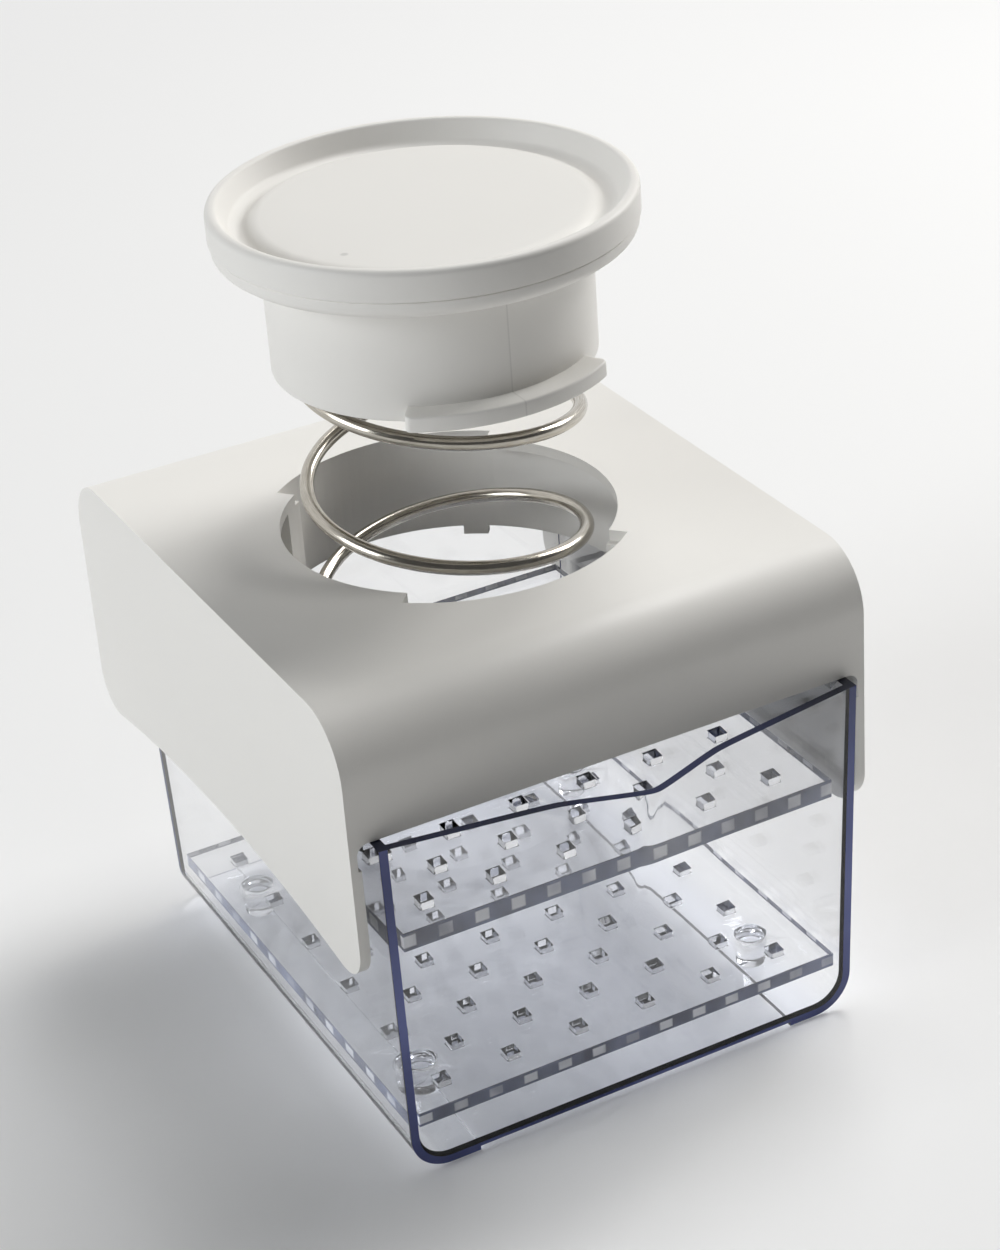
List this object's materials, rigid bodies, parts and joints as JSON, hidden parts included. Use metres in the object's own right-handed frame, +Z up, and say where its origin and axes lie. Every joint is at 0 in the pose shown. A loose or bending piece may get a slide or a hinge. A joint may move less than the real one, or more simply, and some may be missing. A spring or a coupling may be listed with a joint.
{
  "type": "tofu press",
  "caption": "Clear drip container with a pouring lip, a drain tray and a press plate under a sliding cover, pressed by a coil spring and a twist-lock knob.",
  "frame": {"origin": "table height, in the middle of the whole press seen from above", "axes": "+Z up through the knob; -Y towards the pouring lip; X across the two rails"},
  "size_m": [0.144, 0.1836, 0.2184],
  "materials": {
    "clear_shell": "clear, polished",
    "clear_plate": "clear, polished",
    "white_plastic": "fine matte",
    "spring_steel": "drawn wire"
  },
  "bodies": {
    "container": {"container": "clear_shell"},
    "drain_tray": {"drain_tray": "clear_plate"},
    "press_plate": {"press_plate": "clear_plate"},
    "cover": {"cover": "white_plastic"},
    "spring": {"spring": "spring_steel"},
    "knob": {"knob": "white_plastic"}
  },
  "joints": [
    {"name": "tray_lift", "type": "slide", "parent": "container", "child": "drain_tray", "axis": [0, 0, 1], "range_m": [0, 0.035]},
    {"name": "plate_slide", "type": "slide", "parent": "container", "child": "press_plate", "axis": [0, 0, 1], "range_m": [-0.012, 0]},
    {"name": "cover_slide", "type": "slide", "parent": "container", "child": "cover", "axis": [0, 1, 0], "range_m": [-0.012, 0.01]},
    {"name": "knob_press", "type": "slide", "parent": "cover", "child": "spring", "axis": [0, 0, 1], "range_m": [-0.075, 0], "stiffness_N_per_m": 1380, "springref_m": 0.003, "deforming": ["spring"]},
    {"name": "knob_turn", "type": "hinge", "parent": "spring", "child": "knob", "pos_m": [0, 0.00929, 0.18], "axis": [0, 0, 1], "range_deg": [-90, 0]}
  ],
  "couplings": [
    {"joint": "plate_slide", "follows": "knob_press", "ratio": 0.16}
  ]
}
